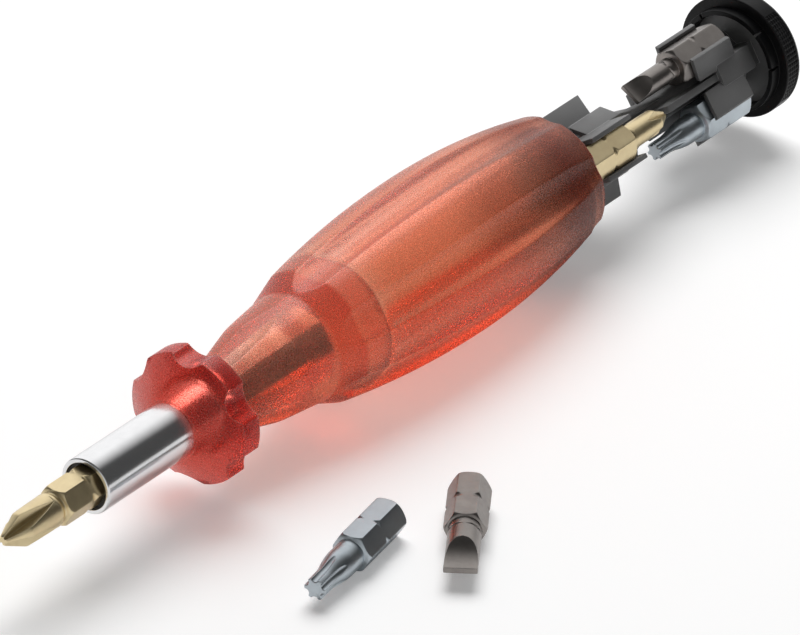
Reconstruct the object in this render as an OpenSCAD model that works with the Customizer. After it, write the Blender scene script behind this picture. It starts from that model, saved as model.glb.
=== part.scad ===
// Pocket screwdriver whose bit magazine slides out of the rear of its handle.
// The tool lies along X with its tip towards -X. The origin is on the tool's axis, at the handle's nose.
// It is drawn as it lies on a table: magazine pulled out, two bits beside the handle.

/* [Handle] */
// Length of the handle from its nose to its rear rim
handle_len = 103.8; // [98:0.1:112]
// Diameter over the grip ridges at the fullest place of the belly
belly_d = 30.2; // [29:0.1:34]
// Length of the belly between its shoulder and the cone at the rear rim
belly_len = 62; // [58:0.1:66]
// Distance of the fullest place in front of the rear rim
belly_back = 31.6; // [28:0.1:36]
// Radius of the belly's lengthwise curve in front of the fullest place
belly_front_arc_r = 205; // [180:1:260]
// Radius of the belly's lengthwise curve behind the fullest place
belly_rear_arc_r = 151; // [135:1:200]
// Length of the cone at the rear rim
rear_cone_len = 4.8; // [3:0.1:7]
// Outside diameter of the rear rim
rim_d = 23.4; // [22.8:0.1:24.6]
// Diameter of the magazine bore
bore_d = 20.4; // [20.3:0.05:20.9]
// Depth of the magazine bore
bore_depth = 59.5; // [59:0.1:63]
// Depth of the grip flutes below the ridges, at the belly
flute_depth = 1.25; // [0.8:0.05:1.5]
// Radius of a flute across the handle
flute_r = 9.7; // [8:0.1:13]
// Radius of a flute's lengthwise curve
flute_arc_r = 215; // [200:1:230]
// Distance of a flute's highest place in front of the rear rim
flute_back = 32.7; // [31:0.1:35]

/* [Nose and neck] */
// Length of the cone in front of the finger collar
nose_len = 4.2; // [2:0.1:6]
// Flat land round the sleeve at the nose
nose_land = 0.3; // [0.1:0.05:1]
// Diameter of the finger collar
collar_d = 23.7; // [21:0.1:26]
// Thickness of the finger collar
collar_t = 4.3; // [3:0.1:6]
// Depth of the scallops in the finger collar
scallop_depth = 1.5; // [0.8:0.05:2]
// Radius of the scallops
scallop_r = 4.4; // [3:0.1:6]
// Neck diameter just behind the finger collar
neck_d = 14.6; // [13.5:0.1:17]
// Neck diameter at the belly's shoulder
neck_end_d = 20; // [18.5:0.1:20.6]
// Length of the shoulder cone between neck and belly
shoulder_len = 4.9; // [3.5:0.1:6.5]

/* [Bit holder] */
// Outside diameter of the steel sleeve
sleeve_d = 10; // [9.8:0.05:10.5]
// Length of the sleeve in front of the nose
sleeve_out = 21.7; // [19:0.1:26]
// Length of the sleeve's spigot inside the handle
spigot_len = 13; // [9:0.1:16]
// Outside diameter of the spigot
spigot_d = 9.4; // [9.2:0.05:9.6]
// Bore of the sleeve
sleeve_bore_d = 8.4; // [8:0.05:8.6]
// Depth of the hexagon socket's face behind the sleeve's mouth
socket_recess = 0.8; // [0.4:0.05:1.5]
// Length of the hexagon socket
socket_len = 12; // [10.5:0.1:14]
// Depth of a seated bit's base behind the mouth
bit_seat = 4.6; // [3.5:0.1:5.5]
// Magnet diameter
magnet_d = 6; // [4:0.1:6.2]
// Magnet length
magnet_len = 4; // [2:0.1:5]
// Width across flats of the shank in the neck
shank_af = 7; // [6:0.1:7.5]
// Length of the hexagonal shank behind the sleeve
shank_len = 22; // [12:0.1:26]

/* [Bits] */
// Length of each bit
bit_len = 25; // [24:0.1:26]
// Width across flats of the bits
bit_af = 6.35; // [6.25:0.01:6.4]
// Length of the chamfer at each end of a bit's hexagon
hex_chamfer = 0.7; // [0.3:0.05:1.2]
// Distance of the notches behind the hexagon's front
notch_x = 6.1; // [5:0.1:7]
// Radius of the notches
notch_r = 0.75; // [0.4:0.05:1]
// Tip length of the large cross-head bit
cross_large_tip = 12.6; // [11:0.1:14]
// Shaft diameter of the large cross-head bit
cross_large_d = 6; // [5.4:0.1:6.1]
// Tip length of the small cross-head bit
cross_small_tip = 12; // [11:0.1:12.5]
// Shaft diameter of the small cross-head bit
cross_small_d = 4.6; // [4:0.1:5]
// Tip length of the wide blade bit
blade_wide_tip = 12; // [11:0.1:14]
// Width of the wide blade
blade_wide_d = 5.6; // [5:0.1:6]
// Thickness of the wide blade
blade_wide_t = 1; // [0.8:0.05:1.2]
// Tip length of the narrow blade bit
blade_narrow_tip = 12; // [11:0.1:12.5]
// Width of the narrow blade
blade_narrow_d = 4.2; // [3.5:0.1:4.5]
// Thickness of the narrow blade
blade_narrow_t = 0.8; // [0.5:0.05:1]
// Tip length of the large star bit
star_large_tip = 12; // [11:0.1:14]
// Star size of the large star bit, over its lobes
star_large_d = 3.86; // [3.6:0.02:4.2]
// Shaft diameter of the large star bit
star_large_shaft_d = 5.3; // [4.8:0.1:5.8]
// Tip length of the small star bit
star_small_tip = 12; // [11:0.1:12.5]
// Star size of the small star bit, over its lobes
star_small_d = 3.26; // [3:0.02:3.5]
// Shaft diameter of the small star bit
star_small_shaft_d = 4.8; // [4.4:0.1:5]

/* [Magazine] */
// Distance that the magazine is pulled out, from closed
travel = 54.5; // [40:0.5:54.5]
// Distance of the bits' axes from the tool's axis
bit_circle_r = 6.3; // [6.2:0.02:6.34]
// Thickness of the clip arms
arm_t = 0.9; // [0.6:0.05:1.1]
// Length of the clip arms
arm_len = 11; // [9:0.1:12]
// Height of the clip arms above the bits' axes
arm_rise = 2.5; // [1.2:0.05:2.5]
// Depth of the arms' feet below the bits' axes
arm_foot = 2.7; // [2.4:0.05:3]
// Height of the bars between the clips, from the tool's axis
bar_r = 6; // [5.6:0.05:6.4]
// Length that the arms reach freely in front of their bars
arm_reach = 4.8; // [3:0.1:6]
// Length of the bars behind the arms
bar_tail = 4.4; // [3:0.1:5]
// Radius of the spine's core
core_r = 2.4; // [2:0.05:2.5]
// Thickness of the fins on the spine
fin_t = 1.3; // [0.8:0.05:1.6]
// Height of the fins from the tool's axis
fin_r = 5.2; // [4.6:0.05:5.5]
// Lean of the front clips' arms towards their bits' tips
front_lean = 1.3; // [0.5:0.1:2]
// Lean of the rear clips' arms towards their bits' tips
rear_lean = 2.4; // [0.5:0.1:3]
// Distance of the magazine's front disc in front of the cap's face
disc_setback = 58.7; // [58:0.1:59]
// Thickness of the front disc
disc_t = 1.6; // [1:0.1:2.5]
// Distance of the front bits' bases in front of the cap's face
front_base_setback = 54.3; // [53.5:0.1:54.5]
// Distance of the front arms in front of the cap's face
front_arm_setback = 51.9; // [50:0.1:53]
// Distance of the rear bits' bases in front of the cap's face
rear_base_setback = 6.8; // [5:0.1:8]
// Distance of the rear arms in front of the cap's face
rear_arm_setback = 16.3; // [15:0.1:17]
// Slope at the end of each bar
bar_slope = 1.2; // [0.6:0.1:2]
// Step from the rear bars' sloped ends down to their tails
tail_step = 0.2; // [0.1:0.05:0.5]
// Height of the fins under the rear bits' tips
fin_low_r = 3.5; // [3:0.05:3.7]
// Depth to which the fins' low ends sink into the core
fin_sink = 0.4; // [0.2:0.05:0.8]
// Distance of the ribs behind the front bits' tips
rib_gap = 1.5; // [1:0.1:3]
// Length of the ribs' sloped fronts
rib_ramp = 1.5; // [0.5:0.1:3]

/* [End cap] */
// Diameter of the cap
cap_d = 23.2; // [22:0.1:24.5]
// Thickness of the cap
cap_t = 5.2; // [4.6:0.1:7]
// Width of the cap's straight edge
cap_edge_len = 3; // [2:0.1:3.6]
// Length of the plug that enters the bore
plug_len = 2.2; // [1.5:0.1:4]
// Wall of the plug
plug_wall = 0.9; // [0.7:0.05:1.2]
// Depth of the cap's hollow behind its face
cap_hollow = 1.6; // [1.2:0.1:2]
// Chamfer round the cap's face
cap_edge = 0.3; // [0.1:0.05:0.6]
// Rounding between the cap's edge and its back
cap_round = 1.6; // [1:0.1:2]
// Radius of the dome on the cap's back
cap_dome_r = 75; // [50:1:200]
// Width of the slits beside the plug's spring tabs
tab_slit = 0.4; // [0.2:0.05:0.8]
// Thickness of the magazine's disc in the cap
disc_back_t = 1; // [0.6:0.1:1.1]
// Radius of the stub that holds the magazine in the cap
stub_r = 3; // [2.6:0.1:4]
// Length of that stub
stub_len = 1.2; // [0.8:0.1:1.6]

/* [Loose bits] */
// Place of the large star bit along the tool
loose_star_x = 2.5; // [-10:0.1:10]
// Distance of the large star bit in front of the tool's axis
loose_star_y = 34.9; // [28:0.1:45]
// Place of the wide blade bit along the tool
loose_blade_x = 19.2; // [15:0.1:60]
// Distance of the wide blade bit in front of the tool's axis
loose_blade_y = 45.4; // [43:0.1:60]

/* [Hidden] */
$fn = 96;
long_arc_fn = 1440;

// Overrun of cuts and joins, and the clearances of pressed, clipped and sliding pieces
over = 0.5;
press_gap = 0.02;
socket_play = 0.05;
clip_play = 0.1;
slide_gap = 0.4;

// Pattern round the tool's axis
flutes = 6;
clips = 3;
clip_pitch = 360 / clips;
rear_ring_roll = 0;
front_ring_roll = clip_pitch / 2;

// Handle stations along X, and radii. The belly is placed from the rear rim, as the bore is, and the neck
// takes what is left between the collar and the shoulder
collar_x0 = nose_len;
collar_x1 = collar_x0 + collar_t;
belly_x1 = handle_len - rear_cone_len;
belly_x0 = belly_x1 - belly_len;
belly_x = handle_len - belly_back;
flute_x = handle_len - flute_back;
neck_x1 = belly_x0 - shoulder_len;
nose_r = sleeve_d / 2 + nose_land;
collar_r = collar_d / 2;
collar_edge = 0.4;
belly_r = belly_d / 2;
rim_r = rim_d / 2;
rim_edge = 0.4;
bore_r = bore_d / 2;
bore_x = handle_len - bore_depth;
bore_edge = 0.3;
flute_floor_r = belly_r - flute_depth;
flute_lead = 3;

// A ridge lies where a flute's circle meets the belly's, and the tool rests on two ridges
flute_centre_r = flute_floor_r + flute_r;
floor_z = -(pow(flute_centre_r, 2) + pow(belly_r, 2) - pow(flute_r, 2)) / (2 * flute_centre_r);

// Bit holder stations
sleeve_r = sleeve_d / 2;
sleeve_lip = 0.35;
mouth_x = -sleeve_out;
socket_x = mouth_x + socket_recess;
socket_end_x = socket_x + socket_len;
bit_base_x = mouth_x + bit_seat;
magnet_x = bit_base_x + socket_play;
core_x = magnet_x + magnet_len + press_gap;
fit_r = sleeve_bore_d / 2 - press_gap;

// Hexagons are given by their half width; this turns one into the radius over its corners
corner_ratio_share = 2 / sqrt(3);
hex_half = bit_af / 2;
hex_r = hex_half * corner_ratio_share;
hex_land_share = 0.94;
chamfer_slope_share = 0.6;

// Magazine stations along X, pulled out: the cap's face, then the clips counted back from it
cap_gap = 0.3;
cap_x = handle_len + cap_gap + travel;
disc_x = cap_x - disc_setback;
front_base_x = cap_x - front_base_setback;
front_arm_x = cap_x - front_arm_setback;
front_bar_end_x = front_arm_x + arm_len + bar_tail;
front_tip_x = front_base_x + bit_len;
rear_base_x = cap_x - rear_base_setback;
rear_arm_x = cap_x - rear_arm_setback;
rear_bar_end_x = rear_arm_x + arm_len + bar_tail;
rear_hex_x = rear_base_x - bit_len + blade_narrow_tip;
rear_tip_x = rear_base_x - bit_len;
back_disc_x = cap_x + cap_hollow - disc_back_t;

// Clip sections: the arms hug a bit's sides, and the bars between clips carry its lower faces
pocket_half = hex_half + clip_play;
arm_top = bit_circle_r + arm_rise;
bar_half = bit_circle_r * sin(clip_pitch / 2) - pocket_half;
fin_root_r = core_r - fin_sink;

// End cap: its rounded back, its plug and the stub that holds the magazine
cap_r = cap_d / 2;
plug_r = bore_r - slide_gap;
plug_in_r = plug_r - plug_wall;
tab_angle = 42;

// Forms of the bit tips
cross_point_share = 0.28;
cross_floor_share = 0.15;
cross_half_angle = 26.5;
cross_large_rise = 13;
cross_large_turn = 30;
cross_small_rise = 17;
cross_small_turn = 0;
blade_wheel_share = 1.7;
star_channel_share = 0.2;
star_floor_share = 0.356;
star_taper_share = 0.75;
star_rise = 9;

// Directions of the loose bits on the table
loose_star_turn = 9.4;
loose_blade_turn = 33.4;

function arc_height(x, r) = belly_r - r + sqrt(r * r - pow(x - belly_x, 2));

// Turns what is drawn along Z to lie along X
module along_x(x = 0) {
    translate([x, 0, 0]) rotate([0, 90, 0]) children();
}

// Extrudes a section drawn in Y and Z along X
module section_x(x0, x1) {
    translate([x0, 0, 0]) rotate([90, 0, 90]) linear_extrude(x1 - x0) children();
}

// Extrudes a side view drawn in X and Z across Y
module side_y(width) {
    translate([0, width / 2, 0]) rotate([90, 0, 0]) linear_extrude(width) children();
}

module ring_of(count, roll = 0) {
    for (k = [0 : count - 1]) rotate([roll + k * 360 / count, 0, 0]) children();
}

// Hexagon prism along X with two flats facing up and down
module hex_bar(x, len, half) {
    along_x(x) rotate([0, 0, 30]) cylinder(r = half * corner_ratio_share, h = len, $fn = 6);
}

// One stretch of the belly's outline: what a long arc leaves between two stations
module belly_stretch(r, x0, x1) {
    intersection() {
        translate([belly_r - r, belly_x]) circle(r = r, $fn = long_arc_fn);
        translate([0, x0]) square([belly_r + over, x1 - x0]);
    }
}

// Half outline of the handle, its axis along the second coordinate
module handle_outline() {
    polygon([[0, 0], [nose_r, 0], [collar_r - collar_edge, collar_x0], [collar_r, collar_x0 + collar_edge],
             [collar_r, collar_x1 - collar_edge], [collar_r - collar_edge, collar_x1], [0, collar_x1]]);
    polygon([[0, collar_x1 - over], [neck_d / 2, collar_x1 - over], [neck_d / 2, collar_x1],
             [neck_end_d / 2, neck_x1], [arc_height(belly_x0, belly_front_arc_r), belly_x0], [0, belly_x0]]);
    belly_stretch(belly_front_arc_r, belly_x0, belly_x);
    belly_stretch(belly_rear_arc_r, belly_x, belly_x1);
    polygon([[0, belly_x1], [arc_height(belly_x1, belly_rear_arc_r), belly_x1],
             [rim_r, handle_len - rim_edge], [rim_r - rim_edge, handle_len], [0, handle_len]]);
}

// One flute: part of a ring of long radius that is laid along the handle
module flute_cut() {
    half = asin((flute_x - neck_x1 + flute_lead) / flute_arc_r);
    translate([flute_x, 0, flute_floor_r - flute_arc_r]) rotate([90, 0, 0])
        rotate_extrude(angle = 2 * half, start = 90 - half, $fn = long_arc_fn)
            translate([flute_arc_r + flute_r, 0]) circle(r = flute_r, $fn = 96);
}

module scallop_cut() {
    translate([-over, 0, collar_r - scallop_depth + scallop_r]) along_x()
        cylinder(r = scallop_r, h = collar_x1 + 2 * over);
}

module handle() {
    color("#c8402e") difference() {
        along_x() rotate_extrude() handle_outline();
        ring_of(flutes) flute_cut();
        ring_of(flutes) scallop_cut();
        along_x(bore_x) cylinder(r = bore_r, h = bore_depth + over);
        along_x(handle_len - bore_edge)
            cylinder(r1 = bore_r, r2 = bore_r + bore_edge + over, h = bore_edge + over);
        along_x(-over) cylinder(r = spigot_d / 2 + press_gap, h = spigot_len + over + press_gap);
        hex_bar(spigot_len - over, shank_len + over + press_gap, shank_af / 2 + press_gap);
    }
}

module bit_sleeve() {
    bore = sleeve_bore_d / 2;
    color("#d9dcdf") along_x() rotate_extrude() {
        translate([bore, mouth_x + sleeve_lip]) square([sleeve_r - bore, sleeve_out - sleeve_lip]);
        translate([bore, mouth_x]) square([sleeve_r - bore - sleeve_lip, sleeve_lip + over]);
        translate([sleeve_r - sleeve_lip, mouth_x + sleeve_lip]) circle(r = sleeve_lip);
        translate([bore, -over]) square([spigot_d / 2 - bore, spigot_len + over]);
    }
}

module hex_socket() {
    color("#8e9296") difference() {
        along_x(socket_x) cylinder(r = fit_r, h = socket_len);
        hex_bar(socket_x - over, socket_len + 2 * over, hex_half + socket_play);
    }
}

module holder_magnet() {
    color("#5b5e62") along_x(magnet_x) cylinder(d = magnet_d, h = magnet_len);
}

// Hexagon behind the magnet, round plug pressed into the sleeve, hexagon held by the handle
module anchor_shank() {
    color("#6f7478") {
        hex_bar(core_x, socket_end_x - core_x + over, hex_half);
        along_x(socket_end_x + press_gap) cylinder(r = fit_r, h = spigot_len - socket_end_x - press_gap);
        hex_bar(spigot_len - over, shank_len + over, shank_af / 2);
    }
}

// The two arms of a clip, whose free edges lean along the tool
module clip_arms(x, lean) {
    foot = bit_circle_r - arm_foot;
    for (side = [-1, 1]) translate([0, side * (pocket_half + arm_t / 2), 0]) side_y(arm_t)
        polygon([[x, foot], [x + arm_len, foot], [x + arm_len + lean, arm_top], [x + lean, arm_top]]);
}

// Section of the three bars of a ring, joined at the tool's axis
module bar_section(roll, height) {
    for (k = [0 : clips - 1]) rotate(roll + k * clip_pitch)
        translate([-bar_half, 0]) square([2 * bar_half, height]);
}

// The bars of a ring, with sloped ends
module clip_bars(x0, x1, roll) {
    difference() {
        section_x(x0, x1) bar_section(roll, bar_r);
        ring_of(clips, roll) side_y(2 * bar_half + 2 * over)
            polygon([[x1 - bar_slope, bar_r], [x1 + over, bar_r - bar_slope - over],
                     [x1 + over, bar_r + over], [x1 - bar_slope, bar_r + over]]);
    }
}

// Fin under the tips of the rear bits: high beside the front clips, low where the bits lie above it
module long_fin() {
    start = disc_x + disc_t / 2;
    side_y(fin_t) polygon([[start, 0], [start, fin_r], [front_bar_end_x - bar_slope, fin_r],
                           [rear_tip_x, fin_low_r], [rear_hex_x, fin_root_r], [rear_hex_x, 0]]);
}

// Rib behind the tips of the front bits, up to the rear bars
module short_rib() {
    start = front_tip_x + rib_gap;
    end = rear_arm_x + arm_reach + over;
    side_y(fin_t)
        polygon([[start, 0], [start, fin_root_r], [start + rib_ramp, fin_r], [end, fin_r], [end, 0]]);
}

module magazine() {
    color("#2b2c2e") {
        along_x(disc_x) cylinder(r = core_r, h = back_disc_x + disc_back_t / 2 - disc_x);
        along_x(disc_x) cylinder(r = plug_r, h = disc_t);
        along_x(back_disc_x) cylinder(r = plug_in_r - press_gap, h = disc_back_t - press_gap);
        along_x(back_disc_x) cylinder(r = stub_r, h = disc_back_t + stub_len);
        ring_of(clips, front_ring_roll) clip_arms(front_arm_x, front_lean);
        clip_bars(front_arm_x + arm_reach, front_bar_end_x, rear_ring_roll);
        ring_of(clips, rear_ring_roll) clip_arms(rear_arm_x, -rear_lean);
        clip_bars(rear_arm_x + arm_reach, rear_bar_end_x, front_ring_roll);
        section_x(rear_bar_end_x - bar_slope, back_disc_x + disc_back_t / 2)
            bar_section(front_ring_roll, bar_r - bar_slope - tail_step);
        ring_of(clips, rear_ring_roll) long_fin();
        ring_of(clips, front_ring_roll) short_rib();
    }
}

// Half outline of the cap from its face backwards: straight edge, rounded corner, shallow dome
module cap_outline() {
    intersection() {
        union() {
            polygon([[0, 0], [cap_r - cap_edge, 0], [cap_r, cap_edge], [cap_r, cap_edge_len],
                     [cap_r - cap_round, cap_edge_len], [cap_r - cap_round, cap_t], [0, cap_t]]);
            translate([cap_r - cap_round, cap_edge_len]) circle(r = cap_round);
        }
        translate([0, cap_t - cap_dome_r]) circle(r = cap_dome_r, $fn = long_arc_fn);
        square([cap_r, cap_t]);
    }
}

module tab_slits() {
    for (side = [-1, 1]) rotate([side * tab_angle / 2, 0, 0])
        translate([cap_x - plug_len - over, -tab_slit / 2, plug_in_r - over])
            cube([plug_len + over, tab_slit, plug_wall + 2 * over]);
}

module end_cap() {
    color("#1f2022") difference() {
        union() {
            along_x(cap_x) rotate_extrude() cap_outline();
            along_x(cap_x - plug_len) cylinder(r = plug_r, h = plug_len + over);
        }
        along_x(cap_x - plug_len - over) cylinder(r = plug_in_r, h = plug_len + cap_hollow + over);
        along_x(cap_x) cylinder(r = stub_r + press_gap, h = cap_hollow + stub_len + press_gap);
        ring_of(clips, front_ring_roll) tab_slits();
    }
}

// Hexagon of a bit from its front at x = 0, with chamfered ends and a notch in each corner
module bit_hex(tip_len) {
    len = bit_len - tip_len;
    land = hex_half * hex_land_share;
    rise = hex_chamfer * chamfer_slope_share;
    difference() {
        intersection() {
            hex_bar(0, len, hex_half);
            along_x() rotate_extrude() polygon([[0, 0], [land, 0], [hex_r + rise, 2 * hex_chamfer],
                                                [hex_r + rise, len - hex_chamfer], [land, len], [0, len]]);
        }
        along_x(notch_x) rotate_extrude() translate([hex_r + notch_r / 2, 0]) circle(r = notch_r);
    }
}

// Shaft in front of the hexagon, narrowing to its point over the last stretch
module bit_shaft(shaft_r, point_r, tip_len, taper_len) {
    along_x() rotate_extrude() polygon([[0, over], [shaft_r, over], [shaft_r, taper_len - tip_len],
                                        [point_r, -tip_len], [0, -tip_len]]);
}

// V channel beside the point whose floor climbs away from the axis
module cross_channel(tip_len, floor_r, wide, rise) {
    translate([-tip_len, 0, floor_r]) rotate([0, -rise, 0]) along_x(-over)
        linear_extrude(tip_len) polygon([[0, 0], [-wide, wide], [-wide, -wide]]);
}

module cross_bit(tip_len, shaft_d, rise, turn) {
    shaft_r = shaft_d / 2;
    point_r = shaft_r * cross_point_share;
    bit_hex(tip_len);
    difference() {
        bit_shaft(shaft_r, point_r, tip_len, (shaft_r - point_r) / tan(cross_half_angle));
        ring_of(4, turn) cross_channel(tip_len, shaft_r * cross_floor_share, shaft_d, rise);
    }
}

// Blade hollowed from both sides by a round wheel
module blade_bit(tip_len, width, thick) {
    wheel_r = blade_wheel_share * width;
    bit_hex(tip_len);
    difference() {
        along_x(-tip_len) cylinder(d = width, h = tip_len + over);
        for (side = [-1, 1]) translate([-tip_len, 0, side * (thick / 2 + wheel_r)]) rotate([90, 0, 0])
            cylinder(r = wheel_r, h = 2 * width, center = true);
    }
}

// Star of six lobes whose channels climb outwards and run out on the taper
module star_bit(tip_len, star_d, shaft_d) {
    channel_r = star_channel_share * star_d;
    channel_c = star_floor_share * star_d + channel_r;
    bit_hex(tip_len);
    difference() {
        bit_shaft(shaft_d / 2, star_d / 2, tip_len, star_taper_share * tip_len);
        ring_of(6) translate([-tip_len, 0, channel_c]) rotate([0, -star_rise, 0]) along_x(-over)
            cylinder(r = channel_r, h = tip_len);
    }
}

// A bit in the front ring points to the cap, and one in the rear ring to the handle
module in_front_clip(clip, tip_len) {
    rotate([front_ring_roll + clip * clip_pitch, 0, 0])
        translate([front_base_x + bit_len - tip_len, 0, bit_circle_r]) rotate([30, 0, 180]) children();
}

module in_rear_clip(clip, tip_len) {
    rotate([rear_ring_roll + clip * clip_pitch, 0, 0])
        translate([rear_base_x - bit_len + tip_len, 0, bit_circle_r]) rotate([30, 0, 0]) children();
}

// Lays a bit on one of its flats on the table
module on_table(x, y, turn) {
    translate([x, -y, floor_z + hex_half]) rotate([0, 0, turn]) children();
}

module bit_cross_large() {
    color("#b7a878") translate([bit_base_x - bit_len + cross_large_tip, 0, 0])
        cross_bit(cross_large_tip, cross_large_d, cross_large_rise, cross_large_turn);
}

module bit_cross_small() {
    color("#c3b58a") in_front_clip(0, cross_small_tip)
        cross_bit(cross_small_tip, cross_small_d, cross_small_rise, cross_small_turn);
}

module bit_blade_narrow() {
    color("#55504c") in_rear_clip(0, blade_narrow_tip)
        blade_bit(blade_narrow_tip, blade_narrow_d, blade_narrow_t);
}

module bit_star_small() {
    color("#9fb0bd") in_rear_clip(1, star_small_tip)
        star_bit(star_small_tip, star_small_d, star_small_shaft_d);
}

module bit_star_large() {
    color("#a9bac6") on_table(loose_star_x, loose_star_y, loose_star_turn)
        star_bit(star_large_tip, star_large_d, star_large_shaft_d);
}

module bit_blade_wide() {
    color("#5a5a5c") on_table(loose_blade_x, loose_blade_y, loose_blade_turn)
        blade_bit(blade_wide_tip, blade_wide_d, blade_wide_t);
}

handle();
bit_sleeve();
hex_socket();
holder_magnet();
anchor_shank();
magazine();
end_cap();
bit_cross_large();
bit_cross_small();
bit_blade_narrow();
bit_star_small();
bit_star_large();
bit_blade_wide();
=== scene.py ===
import math

import bmesh
import bpy
from mathutils import Matrix, Vector


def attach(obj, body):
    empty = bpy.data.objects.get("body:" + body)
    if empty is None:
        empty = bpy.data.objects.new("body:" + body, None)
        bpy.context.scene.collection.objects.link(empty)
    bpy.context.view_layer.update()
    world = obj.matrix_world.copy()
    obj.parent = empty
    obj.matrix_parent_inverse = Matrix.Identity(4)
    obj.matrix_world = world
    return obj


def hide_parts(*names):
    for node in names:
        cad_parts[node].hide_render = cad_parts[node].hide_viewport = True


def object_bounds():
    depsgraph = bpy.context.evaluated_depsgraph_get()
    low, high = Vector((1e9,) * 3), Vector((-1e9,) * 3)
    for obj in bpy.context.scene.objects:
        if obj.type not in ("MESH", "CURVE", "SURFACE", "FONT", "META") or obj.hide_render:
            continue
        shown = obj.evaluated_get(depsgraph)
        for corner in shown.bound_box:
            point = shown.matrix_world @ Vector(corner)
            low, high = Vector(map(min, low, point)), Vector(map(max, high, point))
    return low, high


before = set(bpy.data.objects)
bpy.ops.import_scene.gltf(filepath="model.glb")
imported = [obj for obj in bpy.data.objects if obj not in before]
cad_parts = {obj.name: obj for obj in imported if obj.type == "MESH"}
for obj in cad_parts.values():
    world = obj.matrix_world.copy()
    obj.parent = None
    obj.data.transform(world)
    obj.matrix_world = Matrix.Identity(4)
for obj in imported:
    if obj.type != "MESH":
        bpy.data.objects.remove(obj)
cad_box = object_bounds()

# Lengths below are in millimetres, as in the part's source; angles round the tool's axis start at the top.
MM = 0.001
TAU = 2 * math.pi
TINY = 1e-9

# Clearance between pieces that fit together, parts of a turn in degrees, and the most of a side that a
# rounded corner takes
GAP = 0.02
SIXTH, THIRD = 60, 120
SIDE_SHARE = 0.45

# Points round the axis of each turned piece
HANDLE_STEPS, SLEEVE_STEPS, SPINE_STEPS, CAP_STEPS, BIT_STEPS = 240, 160, 120, 720, 120

# Handle; its flutes, scallops and the flats of its shank hole share six sectors
SECTORS = 6
HANDLE_LEN = 103.8
BELLY_R, BELLY_X, BELLY_X0, BELLY_X1 = 15.1, 72.2, 37.0, 99.0
FRONT_ARC_R, REAR_ARC_R = 205.0, 151.0
RIM_R, RIM_X = 11.7, 103.3
BORE_R, BORE_X, BORE_CHAMFER = 10.2, 44.3, 0.3
FLUTE_FLOOR, FLUTE_R, FLUTE_ARC_R, FLUTE_X = 13.85, 9.7, 215.0, 71.1
NOSE_LEN, NOSE_R, COLLAR_R, COLLAR_X1 = 4.2, 5.3, 11.85, 8.5
CONE_END_R = 11.45
SCALLOP_C, SCALLOP_R = 14.75, 4.4
NECK_R, NECK_END_R, NECK_X1 = 7.3, 10.0, 32.1
SPIGOT_HOLE_R, SPIGOT_HOLE_X, SHANK_HOLE, SHANK_HOLE_X = 4.72, 13.02, 3.52, 35.02

# Roundings of the handle
NECK_BLEND, ARC_BLEND, FLUTE_BLEND, SCALLOP_BLEND = 0.05, 0.06, 0.04, 0.08
HOLE_ROUND, NOSE_ROUND, COLLAR_ROUND, NECK_ROUND = 0.1, 0.15, 0.3, 0.6
BORE_ROUND, BORE_END_ROUND = 0.15, 1.0

# Sleeve
SLEEVE_R, SLEEVE_BORE_R, MOUTH_X, SPIGOT_R, SPIGOT_LEN = 5.0, 4.2, -21.7, 4.7, 13.0
MOUTH_ROUND, MOUTH_IN_ROUND, MOUTH_DEPTH, SPIGOT_ROUND = 0.5, 0.12, 2.0, 0.2

# Bits: the hexagon with its rounded ends and nicks, and the neck in front of it
BIT_LEN, HEX_HALF, NOTCH_X = 25.0, 3.175, 6.1
TIP, LONG_TIP = 12.0, 12.6
HOLDER_BASE_X = -17.1
BIT_CIRCLE_R, CORNER_OUT = 6.3, 30
HEX_DOME, HEX_END, HEX_END_ROUND = 1.3, 1.2, 1.1
HEX_FRONT, HEX_BACK, HEX_END_SHARE, CORNER_CLEAR = 0.88, 0.5, 0.9, 0.05
HEX_BLEND, NICK_BLEND = 0.1, 0.06
NICK_TUBE, NICK_CENTRE, NO_NICK = 0.75, 4.04, 9.0
SHARP_NICK_FLOOR, SHARP_NICK_SLOPE = 3.26, 0.75
BIT_NECK, GROOVE_X, GROOVE_WIDTH = 1.5, 0.45, 0.38
TIP_SHRINK, TIP_INSET = 0.9, 0.1

# Bit tips: point, floor, waist, wheel, ground length, tube and centre are shares of a tip's or wheel's size
CROSS_POINT, CROSS_FLOOR, CROSS_WAIST, CROSS_ANGLE, CROSS_BLEND = 0.28, 0.15, 0.965, 26.5, 0.08
BLADE_WHEEL, BLADE_GROUND = 3.4, 0.82
STAR_TUBE, STAR_CENTRE, STAR_STRAIGHT, STAR_FLARE = 0.2, 0.556, 2.8, 6.0
STAR_CLIMB, STAR_BEND = 0.05, 0.045
LEAST_EDGE = 0.03
CROSS_LARGE_R, CROSS_SMALL_R = 3.0, 2.3
BLADE_NARROW_R, BLADE_WIDE_R = 2.1, 2.8
STAR_SMALL_R, STAR_LARGE_R = 2.4, 2.65

# Magazine
DISC_X, DISC_T, PLUG_R, PLUG_IN_R, CORE_R = 99.9, 1.6, 9.8, 8.9, 2.4
BACK_DISC_X, BACK_DISC_T, STUB_R, STUB_LEN = 159.2, 0.98, 3.0, 1.2
DISC_ROUND, CORE_ROUND, BACK_CORE_ROUND, BACK_ROUND = 0.25, 0.4, 0.2, 0.1
ARM_T, ARM_LEN, ARM_REACH, ARM_FOOT, ARM_TOP, POCKET_HALF = 0.9, 11.0, 4.8, 3.6, 8.8, 3.275
BAR_R, BAR_TAIL, BAR_SLOPE, BAR_HALF, TAIL_STEP = 6.0, 4.4, 1.2, 2.181, 0.2
FRONT_ARM_X, FRONT_LEAN, FRONT_ROLL, FRONT_BASE_X = 106.7, 1.3, SIXTH, 104.3
REAR_ARM_X, REAR_LEAN, REAR_ROLL, REAR_BASE_X = 142.3, -2.4, 0, 151.8
FIN_T, FIN_R, FIN_LOW_R, FIN_ROOT_R = 1.3, 5.2, 3.5, 2.0
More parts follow.
